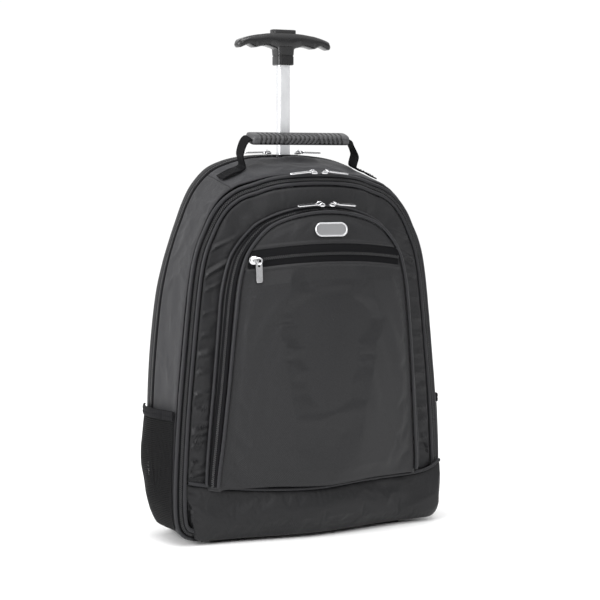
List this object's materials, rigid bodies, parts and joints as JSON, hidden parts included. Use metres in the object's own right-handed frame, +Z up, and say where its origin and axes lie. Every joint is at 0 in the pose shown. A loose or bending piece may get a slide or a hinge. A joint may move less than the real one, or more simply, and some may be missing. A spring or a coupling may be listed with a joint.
{
  "type": "wheeled backpack",
  "caption": "Domed soft backpack with a front pocket, net side pockets, a carrying grip, shoulder straps, rear wheels and a telescopic pulling handle.",
  "frame": {"origin": "on the ground, under the middle of the whole object's box", "axes": "+X to the right seen from the front, -Y towards the front with the pocket, +Z up along the pulling handle"},
  "size_m": [0.4044, 0.1922, 0.6385],
  "materials": {
    "front_and_top_cloth": "twill polyester, padded",
    "side_cloth": "twill polyester, padded",
    "base_cloth": "coated polyester",
    "piping_cloth": "plain weave binding over a cord",
    "zip_tape": "woven tape with a nylon coil",
    "net": "knitted net",
    "elastic": "gathered elastic band",
    "webbing": "woven webbing",
    "grip_rubber": "moulded soft rubber",
    "skid_rubber": "moulded rubber",
    "tyre_rubber": "matt rubber",
    "black_plastic": "fine moulded grain",
    "aluminium": "satin anodised",
    "steel": "turned",
    "nickel": "nickel plated"
  },
  "bodies": {
    "bag": {"axle_left": "steel", "axle_right": "steel", "back_shell": "front_and_top_cloth", "base_panel": "base_cloth", "bezel": "black_plastic", "boot_piping": "piping_cloth", "elastic_left": "elastic", "elastic_right": "elastic", "face_zip_tape": "zip_tape", "front_boot": "front_and_top_cloth", "front_panel": "front_and_top_cloth", "front_skid": "skid_rubber", "grip": "grip_rubber", "grip_webbing": "webbing", "label_plate": "nickel", "main_piping_inner": "piping_cloth", "main_piping_outer": "piping_cloth", "main_zip_tape": "zip_tape", "net_left": "net", "net_right": "net", "outer_tube": "aluminium", "pocket_piping_base": "piping_cloth", "pocket_piping_face": "piping_cloth", "pocket_shell": "front_and_top_cloth", "pocket_zip_tape": "zip_tape", "pull_face": "nickel", "pull_main_left": "nickel", "pull_main_right": "nickel", "pull_pocket_left": "nickel", "pull_pocket_right": "nickel", "pull_rear_left": "nickel", "pull_rear_right": "nickel", "rear_zip_left": "zip_tape", "rear_zip_right": "zip_tape", "shoulder_strap_left": "front_and_top_cloth", "shoulder_strap_right": "front_and_top_cloth", "side_panel_left": "side_cloth", "side_panel_right": "side_cloth", "slider_face": "nickel", "slider_main_left": "nickel", "slider_main_right": "nickel", "slider_pocket_left": "nickel", "slider_pocket_right": "nickel", "slider_rear_left": "nickel", "slider_rear_right": "nickel", "strap_buckle_left": "black_plastic", "strap_buckle_right": "black_plastic", "strap_web_left": "webbing", "strap_web_right": "webbing", "top_panel": "front_and_top_cloth", "wheel_well_left": "black_plastic", "wheel_well_right": "black_plastic"},
    "middle_stage": {"middle_tube": "aluminium"},
    "handle": {"pole": "aluminium", "tee": "black_plastic"},
    "button": {"button": "black_plastic"},
    "wheel_left": {"tyre_left": "tyre_rubber", "hub_left": "black_plastic"},
    "wheel_right": {"tyre_right": "tyre_rubber", "hub_right": "black_plastic"}
  },
  "joints": [
    {"name": "middle_tube_slide", "type": "slide", "parent": "bag", "child": "middle_stage", "axis": [0, 0, 1], "range_m": [0, 0.19]},
    {"name": "handle_slide", "type": "slide", "parent": "middle_stage", "child": "handle", "axis": [0, 0, 1], "range_m": [-0.112, 0.18]},
    {"name": "button_press", "type": "slide", "parent": "handle", "child": "button", "axis": [0, 0, 1], "range_m": [-0.0035, 0], "stiffness_N_per_m": 400, "springref_m": 0.002},
    {"name": "wheel_spin_left", "type": "hinge", "parent": "bag", "child": "wheel_left", "pos_m": [-0.135, 0.0535, 0.028], "axis": [1, 0, 0], "continuous": true},
    {"name": "wheel_spin_right", "type": "hinge", "parent": "bag", "child": "wheel_right", "pos_m": [0.135, 0.0535, 0.028], "axis": [1, 0, 0], "continuous": true}
  ]
}
